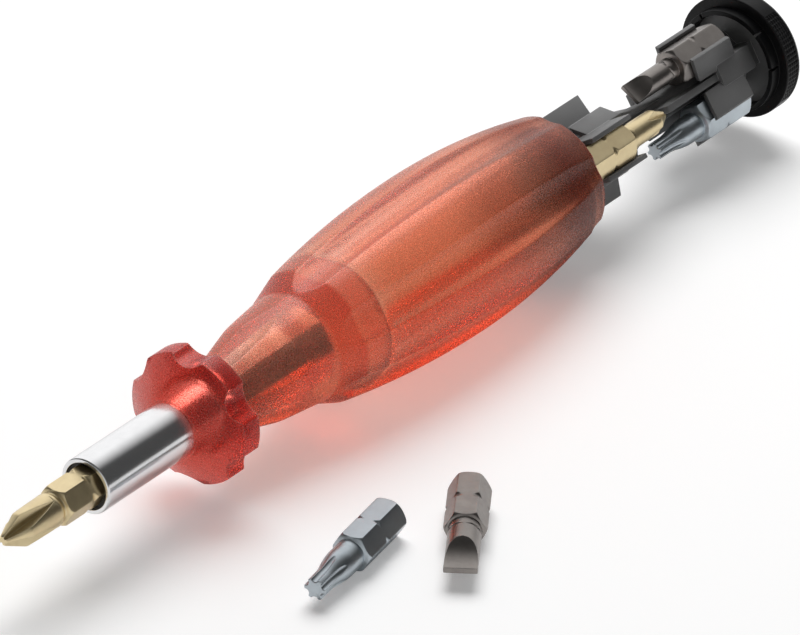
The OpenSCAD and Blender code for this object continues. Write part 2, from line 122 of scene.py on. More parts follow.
RIB_START, RIB_SLOPE, SINK = 1.5, 1.5, 0.5
ARM_EDGE, BAR_EDGE, FIN_EDGE = 0.13, 0.16, 0.12

# Cap
CAP_X, CAP_R, CAP_T, CAP_EDGE_LEN = 158.6, 11.6, 5.2, 3.0
CAP_ROUND, CAP_DOME_R, CAP_EDGE = 1.6, 75.0, 0.3
PLUG_LEN, PLUG_ROUND, PLUG_FOOT_ROUND, CAP_HOLLOW, HOLLOW_ROUND = 2.2, 0.12, 0.05, 1.6, 0.1
TAB_ANGLE, TAB_SLIT, SLIT_FLOOR = 42.0, 0.4, 0.06
KNURL_ROWS, KNURL_PITCH, KNURL_TEETH, KNURL_DEPTH, KNURL_FLAT = 4.5, 4.45, 10, 0.24, 0.8
KNURL_SHIFT, KNURL_RUN_OUT = 16, 0.3


def smooth_min(a, b, k):
    """The lesser of two lengths, with the corner between them rounded over k."""
    h = max(k - abs(a - b), 0.0) / k
    return min(a, b) - h * h * k / 4


def smooth_max(a, b, k):
    return -smooth_min(-a, -b, k)


def spread(a, b, n):
    """n steps from a to b, without b."""
    return [a + (b - a) * i / n for i in range(n)]


def from_middle(phi, sectors):
    """Distance of an angle from the middle of the nearest of so many equal sectors."""
    pitch = TAU / sectors
    return abs((phi + pitch / 2) % pitch - pitch / 2)


def polar(x, r, phi):
    return (x, -r * math.sin(phi), r * math.cos(phi))


def rounded(points, steps=4):
    """Outline with its corners rounded: points are (x, r, radius of the corner)."""
    out = []
    for i, (x, r, radius) in enumerate(points):
        if not radius or i in (0, len(points) - 1):
            out.append((x, r))
            continue
        p = Vector((x, r))
        to_a = Vector(points[i - 1][:2]) - p
        to_b = Vector(points[i + 1][:2]) - p
        half = to_a.angle(to_b) / 2
        cut = min(radius / math.tan(half), to_a.length * SIDE_SHARE, to_b.length * SIDE_SHARE)
        a, b = p + to_a.normalized() * cut, p + to_b.normalized() * cut
        for s in range(steps + 1):
            t = s / steps
            q = a * (1 - t) ** 2 + p * 2 * t * (1 - t) + b * t * t
            out.append((q.x, q.y))
    return out


def skin(rows, closed=False):
    """Vertices and faces over rows of points round an axis; a row of one point closes an end."""
    verts, starts, faces = [], [], []
    for row in rows:
        starts.append(len(verts))
        verts.extend(row)
    pairs = [(i, i + 1) for i in range(len(rows) - 1)]
    if closed:
        pairs.append((len(rows) - 1, 0))
    for i, k in pairs:
        a, b = rows[i], rows[k]
        n = max(len(a), len(b))
        for j in range(n):
            m = (j + 1) % n
            front = [starts[i]] if len(a) == 1 else [starts[i] + j, starts[i] + m]
            back = [starts[k]] if len(b) == 1 else [starts[k] + m, starts[k] + j]
            faces.append(front + back)
    return verts, faces


def revolve(outline, count, closed=False):
    """Skin of an outline that may change round the axis: outline(phi) gives as many (x, r) for each phi."""
    angles = [TAU * j / count for j in range(count)]
    columns = [outline(phi) for phi in angles]
    rows = []
    for i in range(len(columns[0])):
        if max(c[i][1] for c in columns) < TINY:
            rows.append([(columns[0][i][0], 0.0, 0.0)])
        else:
            rows.append([polar(*c[i], phi) for c, phi in zip(columns, angles)])
    return skin(rows, closed)


def piece(name, verts, faces, body, node, slot, material, sharp=38, place=None):
    """A closed mesh, in place of a CAD node, that rides on that node's body."""
    mesh = bpy.data.meshes.new(name)
    mesh.from_pydata([Vector(v) * MM for v in verts], [], faces)
    bm = bmesh.new()
    bm.from_mesh(mesh)
    bmesh.ops.recalc_face_normals(bm, faces=bm.faces)
    bm.to_mesh(mesh)
    bm.free()
    if place:
        mesh.transform(place)
    mesh.polygons.foreach_set("use_smooth", [True] * len(mesh.polygons))
    mesh.set_sharp_from_angle(angle=math.radians(sharp))
    mesh.materials.append(material)
    obj = bpy.data.objects.new(name, mesh)
    bpy.context.scene.collection.objects.link(obj)
    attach(obj, body)
    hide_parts(node)
    return obj


# Materials: noise scales are in features per metre, edges in millimetres, bumps in metres
METAL_EDGE, METAL_CLOUD, METAL_BUMP = 0.1, 420.0, 0.000008
METAL_ROUGH_LEAST, METAL_ROUGH_MOST = 0.88, 1.15
PLASTIC_EDGE, PLASTIC_CLOUD, PLASTIC_GRAIN, PLASTIC_BUMP = 0.14, 300.0, 2600.0, 0.00006
PLASTIC_ROUGH_LEAST, PLASTIC_ROUGH_MOST, PLASTIC_GLINT_LEAST = 0.85, 1.15, 0.35

# Colour of the red plastic's surface along the handle, with shade and light painted by place: a darker
# painted crimson on the collar, a painted pale glow on the neck and the front of the belly, a painted dark
# ring on the shoulder and a painted dark rear
COLLAR_PAINTED_SHADE, SHOULDER_PAINTED_SHADE = (0.80, 0.17, 0.18), (0.84, 0.50, 0.47)
PALE_PAINTED_GLOW, BELLY_TINT, REAR_PAINTED_SHADE = (1.0, 0.88, 0.78), (0.97, 0.64, 0.49), (0.42, 0.17, 0.11)
PAINTED_SHADING_STOPS = (
    (NOSE_LEN, COLLAR_PAINTED_SHADE), (COLLAR_X1 - 1, COLLAR_PAINTED_SHADE),
    (COLLAR_X1 + 2, PALE_PAINTED_GLOW), (NECK_X1 - 0.2, PALE_PAINTED_GLOW),
    (NECK_X1 + 0.2, SHOULDER_PAINTED_SHADE), (BELLY_X0 - 0.3, SHOULDER_PAINTED_SHADE),
    (BELLY_X0 + 0.1, PALE_PAINTED_GLOW), (BORE_X - 3, PALE_PAINTED_GLOW),
    (BORE_X + 3, BELLY_TINT), (BELLY_X1 - 14, BELLY_TINT),
    (BELLY_X1 - 4, REAR_PAINTED_SHADE), (HANDLE_LEN, REAR_PAINTED_SHADE),
)

# The red plastic's frosted surface, its haze and its depth
FROST_INSIDE, FROST_OUTSIDE = 0.45, 1.0
FROST_GRAIN, FROST_CLOUD, FROST_BUMP = 3200.0, 160.0, 0.000018
FROST_ROUGH, FROST_UNEVEN = (0.20, 0.33), (0.9, 1.15)
SPECK_TINT, SPECK_SHARE = (0.55, 0.30, 0.22), 0.07
GLOSS_TINT, SHEEN_TINT = (1.0, 0.55, 0.48), (1.0, 0.72, 0.68)
RED_EDGE, RED_EDGE_SHARP, RED_EDGE_PLAIN = 0.25, 0.975, 0.999
HAZE_TINT, HAZE_SHARE, HAZE_START = (1.0, 0.52, 0.40), 0.22, 0.5
# Paler haze colour and a larger haze share along sharp edges: a painted highlight
EDGE_PAINTED_HIGHLIGHT, EDGE_HIGHLIGHT_SHARE = (1.0, 0.66, 0.56), 0.3
SHADOW_TINT = (0.68, 0.60, 0.59)
DEPTH_TINT, DEPTH_DENSITY = (0.92, 0.31, 0.03), 102.0


def rgba(colour):
    return (*colour, 1.0)


def new_material(name):
    mat = bpy.data.materials.new(name)
    mat.use_nodes = True
    mat.node_tree.nodes.clear()
    return mat, mat.node_tree


def node(tree, kind, links=None, **settings):
    """Adds a node; links gives, by input, a socket to join or a value to set."""
    made = tree.nodes.new("ShaderNode" + kind)
    for key, value in settings.items():
        setattr(made, key, value)
    for key, value in (links or {}).items():
        if isinstance(value, bpy.types.NodeSocket):
            tree.links.new(value, made.inputs[key])
        else:
            made.inputs[key].default_value = value
    return made


def maths(tree, operation, *values):
    return node(tree, "Math", dict(enumerate(values)), operation=operation).outputs[0]


def dot(tree, a, b):
    return node(tree, "VectorMath", {0: a, 1: b}, operation="DOT_PRODUCT").outputs["Value"]


def noise(tree, scale, detail=2.0, stretch=None):
    """Noise in the piece's own space."""
    place = node(tree, "TexCoord").outputs["Object"]
    if stretch:
        place = node(tree, "Mapping", {"Vector": place, "Scale": stretch}).outputs["Vector"]
    return node(tree, "TexNoise", {"Vector": place, "Scale": scale, "Detail": detail}).outputs["Fac"]


def span(tree, value, low, high, start=0.3, end=0.7):
    """Maps a value from one range to another."""
    links = {"Value": value, "From Min": start, "From Max": end, "To Min": low, "To Max": high}
    return node(tree, "MapRange", links).outputs["Result"]


def blend_colour(tree, factor, a, b):
    """Mixes two colours; each is a socket or three numbers."""
    first, second, result = 6, 7, 2
    mix = node(tree, "Mix", {0: factor}, data_type="RGBA")
    for index, value in ((first, a), (second, b)):
        if isinstance(value, bpy.types.NodeSocket):
            tree.links.new(value, mix.inputs[index])
        else:
            mix.inputs[index].default_value = rgba(value)
    return mix.outputs[result]


def edge_mask(tree, radius, sharp=0.86, plain=0.995):
    """1 near sharp edges, 0 elsewhere, and the rounded normal."""
    soft = node(tree, "Bevel", {"Radius": radius * MM}, samples=6).outputs["Normal"]
    flat = node(tree, "NewGeometry").outputs["Normal"]
    return span(tree, dot(tree, soft, flat), 1.0, 0.0, sharp, plain), soft


def bumped(tree, height, strength, distance, soft=None):
    """Normal with a bump on it, over a rounded normal if there is one."""
    links = {"Height": height, "Strength": strength, "Distance": distance}
    if soft:
        links["Normal"] = soft
    return node(tree, "Bump", links).outputs["Normal"]


def close(mat, tree, surface, volume=None):
    out = node(tree, "OutputMaterial", {"Surface": surface})
    if volume:
        tree.links.new(volume, out.inputs["Volume"])
    return mat


def metal(name, base, dull, edge_glint_colour, rough, grain, bump=0.1, stretch=None):
    """Steel with fine grain, uneven polish and a painted highlight of brighter colour on its edges."""
    mat, tree = new_material(name)
    mask, soft = edge_mask(tree, METAL_EDGE)
    cloud = noise(tree, METAL_CLOUD, detail=3.0)
    fine = noise(tree, grain, detail=3.0, stretch=stretch)
    body = blend_colour(tree, span(tree, cloud, 0.0, 1.0), base, dull)
    steel = node(tree, "BsdfPrincipled", {
        # Edges take a brighter colour: a painted highlight
        "Base Color": blend_colour(tree, mask, body, edge_glint_colour),
        "Metallic": 1.0,
        "Normal": bumped(tree, fine, bump, METAL_BUMP, soft),
        "Roughness": span(tree, fine, rough * METAL_ROUGH_LEAST, rough * METAL_ROUGH_MOST),
    })
    return close(mat, tree, steel.outputs["BSDF"])


def plastic(name, base, pale_glint_colour, rough, bump, gloss=0.5):
    """Moulded plastic with a fine grain and a patchy painted highlight of paler colour on its edges."""
    mat, tree = new_material(name)
    mask, soft = edge_mask(tree, PLASTIC_EDGE)
    fine = noise(tree, PLASTIC_GRAIN, detail=4.0)
    cloud = noise(tree, PLASTIC_CLOUD, detail=3.0)
    # Edges take a paler colour in patches: a painted highlight
    patchy_edge_glint = maths(tree, "MULTIPLY", mask, span(tree, cloud, PLASTIC_GLINT_LEAST, 1.0))
    moulded = node(tree, "BsdfPrincipled", {
        "Base Color": blend_colour(tree, patchy_edge_glint, base, pale_glint_colour),
        "Normal": bumped(tree, fine, bump, PLASTIC_BUMP, soft),
        "Roughness": span(tree, cloud, rough * PLASTIC_ROUGH_LEAST, rough * PLASTIC_ROUGH_MOST),
        "IOR": 1.5,
        "Specular IOR Level": gloss,
    })
    return close(mat, tree, moulded.outputs["BSDF"])


def painted_shading_along_handle(tree):
    """Colour ramp over the handle's length, from its nose to its rear rim, with shade and light painted at
    fixed places.
    """
    along = node(tree, "SeparateXYZ", {0: node(tree, "TexCoord").outputs["Object"]}).outputs["X"]
    ramp = node(tree, "ValToRGB", {0: span(tree, along, 0.0, 1.0, 0.0, HANDLE_LEN * MM)})
    stops = ramp.color_ramp.elements
    for stop, (x, colour) in zip(stops, (PAINTED_SHADING_STOPS[0], PAINTED_SHADING_STOPS[-1])):
        stop.position = x / HANDLE_LEN
        stop.color = rgba(colour)
    for x, colour in PAINTED_SHADING_STOPS[1:-1]:
        stops.new(x / HANDLE_LEN).color = rgba(colour)
    return ramp.outputs["Color"]


def frosted_red():
    """Tinted clear plastic with a hazy, frosted outside; its colour deepens with thickness. Its surface
    colour carries shade and light painted along the handle, and a painted highlight on its sharp edges.
    """
    mat, tree = new_material("frosted_red")
    frost = node(tree, "Attribute", attribute_name="frost").outputs["Fac"]
    fine = noise(tree, FROST_GRAIN)
    cloud = noise(tree, FROST_CLOUD, detail=3.0)
    level = maths(tree, "MULTIPLY", span(tree, fine, *FROST_ROUGH), span(tree, cloud, *FROST_UNEVEN))
    # Surface colour with shade and light painted along the handle
    painted_shading = painted_shading_along_handle(tree)
    normal = bumped(tree, fine, frost, FROST_BUMP)
    clear = node(tree, "BsdfPrincipled", {
        "Base Color": blend_colour(tree, span(tree, fine, SPECK_SHARE, 0.0), painted_shading, SPECK_TINT),
        "Roughness": maths(tree, "MULTIPLY", frost, level),
        "Normal": normal,
        "IOR": 1.47,
        "Transmission Weight": 1.0,
        "Specular Tint": rgba(GLOSS_TINT),
        "Sheen Weight": 0.35,
        "Sheen Roughness": 0.3,
        "Sheen Tint": rgba(SHEEN_TINT),
    })
    # Sharp edges take a paler colour and more haze: a painted highlight
    edge = edge_mask(tree, RED_EDGE, RED_EDGE_SHARP, RED_EDGE_PLAIN)[0]
    haze_with_painted_light = node(tree, "VectorMath", {0: painted_shading, 1: HAZE_TINT}, operation="MULTIPLY").outputs["Vector"]
    haze_with_painted_light = blend_colour(tree, edge, haze_with_painted_light, EDGE_PAINTED_HIGHLIGHT)
    haze = node(tree, "BsdfDiffuse", {"Color": haze_with_painted_light, "Normal": normal})
    outside = span(tree, frost, 0.0, HAZE_SHARE, HAZE_START, FROST_OUTSIDE)
    share = maths(tree, "MULTIPLY_ADD", edge, EDGE_HIGHLIGHT_SHARE, outside)
    hazy = node(tree, "MixShader", {0: share, 1: clear.outputs["BSDF"], 2: haze.outputs["BSDF"]})
    thin = node(tree, "BsdfTransparent", {"Color": rgba(SHADOW_TINT)})
    shadow = node(tree, "LightPath").outputs["Is Shadow Ray"]
    surface = node(tree, "MixShader", {0: shadow, 1: hazy.outputs[0], 2: thin.outputs["BSDF"]})
    volume = node(tree, "VolumeAbsorption", {"Color": rgba(DEPTH_TINT), "Density": DEPTH_DENSITY})
    return close(mat, tree, surface.outputs[0], volume.outputs["Volume"])


RED = frosted_red()
# The last colour of each steel below is a painted highlight on its edges, and so is the second colour of each
# plastic
CHROME = metal("polished_steel", (0.94, 0.94, 0.95), (0.89, 0.89, 0.90), (0.97, 0.97, 0.97),
               rough=0.17, grain=900.0, bump=0.0, stretch=(0.08, 1.0, 1.0))
DARK_STEEL = metal("dark_steel", (0.06, 0.055, 0.05), (0.04, 0.038, 0.036), (0.14, 0.135, 0.13),
                   rough=0.42, grain=1500.0)
SOCKET_STEEL = metal("socket_steel", (0.34, 0.35, 0.36), (0.25, 0.26, 0.27), (0.55, 0.56, 0.57),
                     rough=0.34, grain=1500.0)
GOLD = metal("champagne_steel", (0.90, 0.75, 0.46), (0.80, 0.65, 0.39), (0.95, 0.86, 0.62),
             rough=0.33, grain=1900.0)
BLUE = metal("blue_steel", (0.55, 0.61, 0.65), (0.49, 0.54, 0.58), (0.80, 0.84, 0.87),
             rough=0.32, grain=1900.0)
BROWN = metal("brown_steel", (0.33, 0.305, 0.285), (0.28, 0.255, 0.24), (0.56, 0.54, 0.52),
              rough=0.32, grain=1900.0)
BLACK = plastic("black_plastic", (0.14, 0.14, 0.14), (0.42, 0.42, 0.42), rough=0.42, bump=0.25)
CAP_BLACK = plastic("cap_plastic", (0.004, 0.004, 0.0045), (0.035, 0.035, 0.035), rough=0.38, bump=0.3,
                    gloss=0.22)


# Handle


def bulge(x, arc_r):
    """Radius on one of the belly's two long arcs."""
    return BELLY_R - arc_r + math.sqrt(arc_r ** 2 - (x - BELLY_X) ** 2)


def cone(x, x0, r0, x1, r1):
    """Radius on the cone through two circles."""
    return r0 + (r1 - r0) * (x - x0) / (x1 - x0)


def belly(x):
    """Outside radius of the handle behind the collar, without its flutes."""
    neck = cone(x, COLLAR_X1, NECK_R, NECK_X1, NECK_END_R)
    shoulder = cone(x, NECK_X1, NECK_END_R, BELLY_X0, bulge(BELLY_X0, FRONT_ARC_R))
    arc = bulge(x, FRONT_ARC_R if x < BELLY_X else REAR_ARC_R)
    rear = cone(x, BELLY_X1, bulge(BELLY_X1, REAR_ARC_R), HANDLE_LEN, RIM_R)
    front = smooth_min(smooth_max(neck, shoulder, NECK_BLEND), arc, ARC_BLEND)
    return smooth_min(front, rear, ARC_BLEND)


def fluted(x, phi):
    """Outside radius of the handle after the flutes are cut."""
    r = belly(x)
    d = from_middle(phi, SECTORS)
    c = FLUTE_FLOOR - FLUTE_ARC_R + math.sqrt(FLUTE_ARC_R ** 2 - (x - FLUTE_X) ** 2) + FLUTE_R
    inside = FLUTE_R ** 2 - (c * math.sin(d)) ** 2
    if inside <= 0:
        return r
    return smooth_min(r, c * math.cos(d) - math.sqrt(inside), FLUTE_BLEND)


# Rows along the outside, closer together at the shoulder and at the rear
BELLY_STATIONS = (spread(9.3, 31.0, 18) + spread(31.0, 39.0, 24) + spread(39.0, 97.0, 50)
                  + spread(97.0, RIM_X, 14))


def handle_outline(phi):
    d = from_middle(phi, SECTORS)
    inside = SCALLOP_R ** 2 - (SCALLOP_C * math.sin(d)) ** 2
    collar = COLLAR_R
    if inside > 0:
        collar = smooth_min(collar, SCALLOP_C * math.cos(d) - math.sqrt(inside), SCALLOP_BLEND)
    cone_x = (collar - NOSE_R) * NOSE_LEN / (CONE_END_R - NOSE_R)
    shank = SHANK_HOLE / math.cos(d)
    neck_x = BELLY_STATIONS[0] + 1
    front = rounded([(SHANK_HOLE_X, 0, 0), (SHANK_HOLE_X, shank, 0), (SPIGOT_HOLE_X, shank, 0),
                     (SPIGOT_HOLE_X, SPIGOT_HOLE_R, 0), (0, SPIGOT_HOLE_R, HOLE_ROUND),
                     (0, NOSE_R, NOSE_ROUND), (cone_x, collar, COLLAR_ROUND),
                     (COLLAR_X1, collar, COLLAR_ROUND), (COLLAR_X1, belly(COLLAR_X1), NECK_ROUND),
                     (neck_x, belly(neck_x), 0)])[:-1]
    outside = [(x, fluted(x, phi)) for x in BELLY_STATIONS]
    edge_r = fluted(RIM_X, phi)
    drop = HANDLE_LEN - RIM_X
    rim = [(RIM_X + drop * math.sin(a), edge_r - drop * (1 - math.cos(a)))
           for a in spread(0, math.pi / 2, 6)]
    bore = rounded([(HANDLE_LEN, edge_r - drop, 0), (HANDLE_LEN, BORE_R + BORE_CHAMFER, BORE_ROUND),
                    (HANDLE_LEN - BORE_CHAMFER, BORE_R, BORE_ROUND), (BORE_X, BORE_R, BORE_END_ROUND),
                    (BORE_X, 0, 0)])
    return front + outside + rim + bore


def frost_handle(mesh):
    """Marks the outside of the handle as frosted, and its bore and holder's hole as smoother."""
    near, mouth_x = 0.05, 0.3
    frost = mesh.attributes.new("frost", "FLOAT", "POINT")
    for vertex, value in zip(mesh.vertices, frost.data):
        x, r = vertex.co.x / MM, math.hypot(vertex.co.y, vertex.co.z) / MM
        in_bore = x > BORE_X - near and r < BORE_R + near
        in_holder = mouth_x < x < SHANK_HOLE_X + near and r < SPIGOT_HOLE_R + near
        value.value = FROST_INSIDE if in_bore or in_holder else FROST_OUTSIDE


handle = piece("handle_grip", *revolve(handle_outline, HANDLE_STEPS), "grip", "handle", "handle", RED,
               sharp=45)
frost_handle(handle.data)


# Bit holder


def sleeve_outline(phi):
    return rounded([(SPIGOT_LEN, SLEEVE_BORE_R, 0), (SPIGOT_LEN, SPIGOT_R, SPIGOT_ROUND), (GAP, SPIGOT_R, 0),
                    (GAP, SLEEVE_R, 0), (MOUTH_X, SLEEVE_R, MOUTH_ROUND),
                    (MOUTH_X, SLEEVE_BORE_R, MOUTH_IN_ROUND), (MOUTH_X + MOUTH_DEPTH, SLEEVE_BORE_R, 0)],
                   steps=6)


piece("bit_holder_sleeve", *revolve(sleeve_outline, SLEEVE_STEPS, closed=True), "grip", "bit_sleeve", "steel",
      CHROME)

# Inside the sleeve and the handle, the CAD's own meshes show
CAD_STEEL = {"hex_socket": DARK_STEEL, "holder_magnet": DARK_STEEL, "anchor_shank": SOCKET_STEEL}
for name, material in CAD_STEEL.items():
    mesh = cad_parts[name].data
    mesh.materials.clear()
    mesh.materials.append(material)


# Bits


def sector_row(x, sectors, edge, inner, radius, turn=0.0):
    """A row round a bit's axis in equal sectors; `inner` of each half sector's steps lie before its edge."""
    half = math.pi / sectors
    outer = BIT_STEPS // (2 * sectors) - inner
    steps = spread(0, edge, inner) + spread(edge, half, outer) + [half]
    row = []
    for k in range(sectors):
        middle = 2 * half * k + turn
        row += [polar(x, radius(d), middle + d) for d in steps]
        row += [polar(x, radius(d), middle + 2 * half - d) for d in reversed(steps[1:-1])]
    return row


def round_row(x, r):
    return [polar(x, r, TAU * j / BIT_STEPS) for j in range(BIT_STEPS)]


def drawn_in(distance, radius):
    """How far a rounded end is drawn in at a distance from it: 1 at the end, 0 from its radius on."""
    t = 1 - min(distance / radius, 1.0)
    return 1 - math.sqrt(max(1 - t ** 2, 0.0))


def hex_rows(length, nick):
    """Rows of a bit's hexagon from its front: rounded ends and a nick in each corner."""
    half = math.pi / 6
    stations = (spread(0, HEX_DOME, 16) + spread(HEX_DOME, NOTCH_X - 1, 4)
                + spread(NOTCH_X - 1, NOTCH_X + 1, 20) + spread(NOTCH_X + 1, length - HEX_END, 6)
                + spread(length - HEX_END, length, 12) + [length])
    free_r = HEX_HALF / math.cos(half) + CORNER_CLEAR
    depth = free_r - HEX_HALF * HEX_END_SHARE
    rows = []
    for x in stations:
        limit = free_r - depth * drawn_in(x, HEX_DOME) - depth * drawn_in(length - x, HEX_END_ROUND)
        limit = min(limit, nick(abs(x - NOTCH_X)))

        def radius(d, limit=limit):
            flat = smooth_min(HEX_HALF / math.cos(d), HEX_HALF / math.cos(2 * half - d), HEX_BLEND)
            return smooth_min(flat, limit, NICK_BLEND)

        rows.append(sector_row(x, 6, half / 2, inner=5, radius=radius))
    return rows


def round_nick(dx):
    return NICK_CENTRE - math.sqrt(NICK_TUBE ** 2 - dx ** 2) if dx < NICK_TUBE else NO_NICK


def sharp_nick(dx):
    return SHARP_NICK_FLOOR + SHARP_NICK_SLOPE * dx


def end_rows(row, x):
    """Closes a tip: its axis point, a smaller copy of its first row, and that row a little inwards."""
    return [[(x, 0.0, 0.0)],
            [(x, y * TIP_SHRINK, z * TIP_SHRINK) for _, y, z in row],
            [(x + TIP_INSET, y, z) for _, y, z in row]]


def neck_rows(shaft_r, waist, front_r):
    """The groove between a shaft and the hexagon's front."""
    rows = []
    for x in spread(-BIT_NECK, 0, 14):
        dip = math.exp(-(((x + GROOVE_X) / GROOVE_WIDTH) ** 2))
        swell = max(0.0, (x + BIT_NECK) / BIT_NECK) ** 2
        rows.append(round_row(x, shaft_r + (front_r - shaft_r) * swell - waist * dip))
    return rows


def cross_rows(tip, shaft_r, climb, bend, turn):
    """Four wings: V channels whose floors climb from the point and bend outwards to run out on the shaft."""
    point_r, floor_r = shaft_r * CROSS_POINT, shaft_r * CROSS_FLOOR
    slope = math.tan(math.radians(CROSS_ANGLE))
    taper = (shaft_r - point_r) / slope
    shift = round(BIT_STEPS * turn / TAU)
    rows = []
    for x in spread(-tip, -tip + taper, 16) + spread(-tip + taper, -BIT_NECK, 30):
        s = x + tip
        swell = CROSS_WAIST + (1 - CROSS_WAIST) * (s - taper) / (tip - taper)
        r0 = smooth_min(point_r + s * slope, shaft_r * swell, CROSS_BLEND)
        z = floor_r + climb * s + bend * s * s
        edge = math.acos(min(1.0, z / (math.sqrt(2) * r0))) - math.pi / 4 if z < r0 else 0.0

        def radius(d, r0=r0, z=z, edge=edge):
            return min(r0, z / (math.cos(d) - math.sin(d))) if d < edge else r0

        row = sector_row(x, 4, max(edge, LEAST_EDGE), inner=9, radius=radius, turn=turn)
        rows.append(row[-shift:] + row[:-shift])
    return rows


def blade_rows(tip, shaft_r, thick):
    """A blade with two hollow-ground faces that run out on the shaft."""
    wheel = BLADE_WHEEL * shaft_r
    ground_x = -tip + BLADE_GROUND * wheel
    rows = []
    for x in spread(-tip, ground_x, 44) + spread(ground_x, -BIT_NECK, 6):
        run = min(x + tip, wheel)
        h = thick / 2 + wheel - math.sqrt(wheel ** 2 - run ** 2)
        edge = math.acos(min(1.0, h / shaft_r))

        def radius(d, h=h, edge=edge):
            return min(shaft_r, h / max(math.cos(d), TINY)) if d < edge else shaft_r

        rows.append(sector_row(x, 2, max(edge, LEAST_EDGE), inner=20, radius=radius))
    return rows


def star_rows(tip, shaft_r, star_d):
    """A straight star, then a flare to the shaft on which its channels run out."""
    tube = STAR_TUBE * star_d
    rows = []
    for x in spread(-tip, -BIT_NECK, 70):
        s = x + tip
        beyond = max(s - STAR_STRAIGHT, 0.0)
        rise = min(beyond / STAR_FLARE, 1.0)
        r0 = star_d / 2 + (shaft_r - star_d / 2) * rise * rise * (3 - 2 * rise)
        c = STAR_CENTRE * star_d + STAR_CLIMB * s + STAR_BEND * beyond ** 2
        cosine = (r0 ** 2 + c ** 2 - tube ** 2) / (2 * r0 * c)
        edge = math.acos(cosine) if cosine < 1 else 0.0

        def radius(d, r0=r0, c=c, edge=edge):
            if d > edge:
                return r0
            return min(r0, c * math.cos(d) - math.sqrt(max(tube ** 2 - (c * math.sin(d)) ** 2, 0.0)))

        rows.append(sector_row(x, 6, max(edge, LEAST_EDGE), inner=6, radius=radius))
    return rows


def bit(name, cad_node, body, slot, material, tip, shaft_r, tip_rows, place, nick=round_nick, waist=0.0):
    """A bit whose tip points to -X from the front of its hexagon, put in its place."""
    length = BIT_LEN - tip
    rows = end_rows(tip_rows[0], -tip) + tip_rows[1:]
    rows += neck_rows(shaft_r, waist, min(shaft_r, HEX_HALF * HEX_FRONT)) + hex_rows(length, nick)
    rows += [round_row(length, HEX_HALF * HEX_BACK), [(length, 0.0, 0.0)]]
    return piece(name, *skin(rows), body, cad_node, slot, material, sharp=30, place=place)


def turned(axis, angle):
    return Matrix.Rotation(math.radians(angle), 4, axis)


def moved(x, y, z):
    return Matrix.Translation(Vector((x, y, z)) * MM)


def front_clip(roll):
    seat = moved(FRONT_BASE_X + BIT_LEN - TIP, 0, BIT_CIRCLE_R) @ turned("Z", 180)
    return turned("X", roll) @ seat @ turned("X", CORNER_OUT)


def rear_clip(roll):
    seat = moved(REAR_BASE_X - BIT_LEN + TIP, 0, BIT_CIRCLE_R)
    return turned("X", roll) @ seat @ turned("X", CORNER_OUT)


FLOOR_Z = cad_box[0][2] / MM


def on_table(x, y, angle):
    return moved(x, -y, FLOOR_Z + HEX_HALF) @ turned("Z", angle)


bit("cross_bit_large", "bit_cross_large", "cross_large", "gold_steel", GOLD, LONG_TIP, CROSS_LARGE_R,
    cross_rows(LONG_TIP, CROSS_LARGE_R, climb=0.12, bend=0.0102, turn=TAU / 12),
    moved(HOLDER_BASE_X - BIT_LEN + LONG_TIP, 0, 0), waist=0.3)
bit("cross_bit_small", "bit_cross_small", "cross_small", "gold_steel", GOLD, TIP, CROSS_SMALL_R,
    cross_rows(TIP, CROSS_SMALL_R, climb=0.20, bend=0.016, turn=0.0),
    front_clip(FRONT_ROLL), waist=0.15)
bit("blade_bit_narrow", "bit_blade_narrow", "blade_narrow", "dark_steel", BROWN, TIP, BLADE_NARROW_R,
    blade_rows(TIP, BLADE_NARROW_R, thick=0.8), rear_clip(REAR_ROLL))
bit("star_bit_small", "bit_star_small", "star_small", "blue_steel", BLUE, TIP, STAR_SMALL_R,
    star_rows(TIP, STAR_SMALL_R, star_d=3.26), rear_clip(REAR_ROLL + THIRD), nick=sharp_nick)
bit("star_bit_large", "bit_star_large", "star_large", "blue_steel", BLUE, TIP, STAR_LARGE_R,
    star_rows(TIP, STAR_LARGE_R, star_d=3.86), on_table(x=2.5, y=34.9, angle=9.4), nick=sharp_nick)
bit("blade_bit_wide", "bit_blade_wide", "blade_wide", "dark_steel", BROWN, TIP, BLADE_WIDE_R,
    blade_rows(TIP, BLADE_WIDE_R, thick=1.0), on_table(x=19.2, y=45.4, angle=33.4))


# Magazine


def add_skin(bm, verts, faces):
    made = [bm.verts.new(v) for v in verts]
    for face in faces:
        bm.faces.new([made[i] for i in face])


def prism(bm, outline, middle, half, roll, edge):
    """A side view in X and Z, drawn across Y about its middle, rolled about X, with rounded edges."""
    turn = Matrix.Rotation(math.radians(roll), 3, "X")
    near, far = [[bm.verts.new(turn @ Vector((x, y, z))) for x, z in outline]
                 for y in (middle - half, middle + half)]
    faces = [bm.faces.new(near), bm.faces.new(list(reversed(far)))]
    for i in range(len(outline)):
        k = (i + 1) % len(outline)
        faces.append(bm.faces.new((near[i], far[i], far[k], near[k])))
    bmesh.ops.recalc_face_normals(bm, faces=faces)
    edges = list(dict.fromkeys(e for f in faces for e in f.edges))
    bmesh.ops.bevel(bm, geom=edges, offset=edge, segments=2, profile=0.5, affect="EDGES",
                    clamp_overlap=True)


def magazine_spine(phi):
    """Front disc, core, back disc and the stub that holds the cap."""
    disc_end, back_end, back_r = DISC_X + DISC_T, BACK_DISC_X + BACK_DISC_T, PLUG_IN_R - GAP
    return rounded([(DISC_X, 0, 0), (DISC_X, PLUG_R, DISC_ROUND), (disc_end, PLUG_R, DISC_ROUND),
                    (disc_end, CORE_R, CORE_ROUND), (BACK_DISC_X, CORE_R, BACK_CORE_ROUND),
                    (BACK_DISC_X, back_r, BACK_ROUND), (back_end, back_r, BACK_ROUND), (back_end, STUB_R, 0),
                    (back_end + STUB_LEN, STUB_R, BACK_ROUND), (back_end + STUB_LEN, 0, 0)])


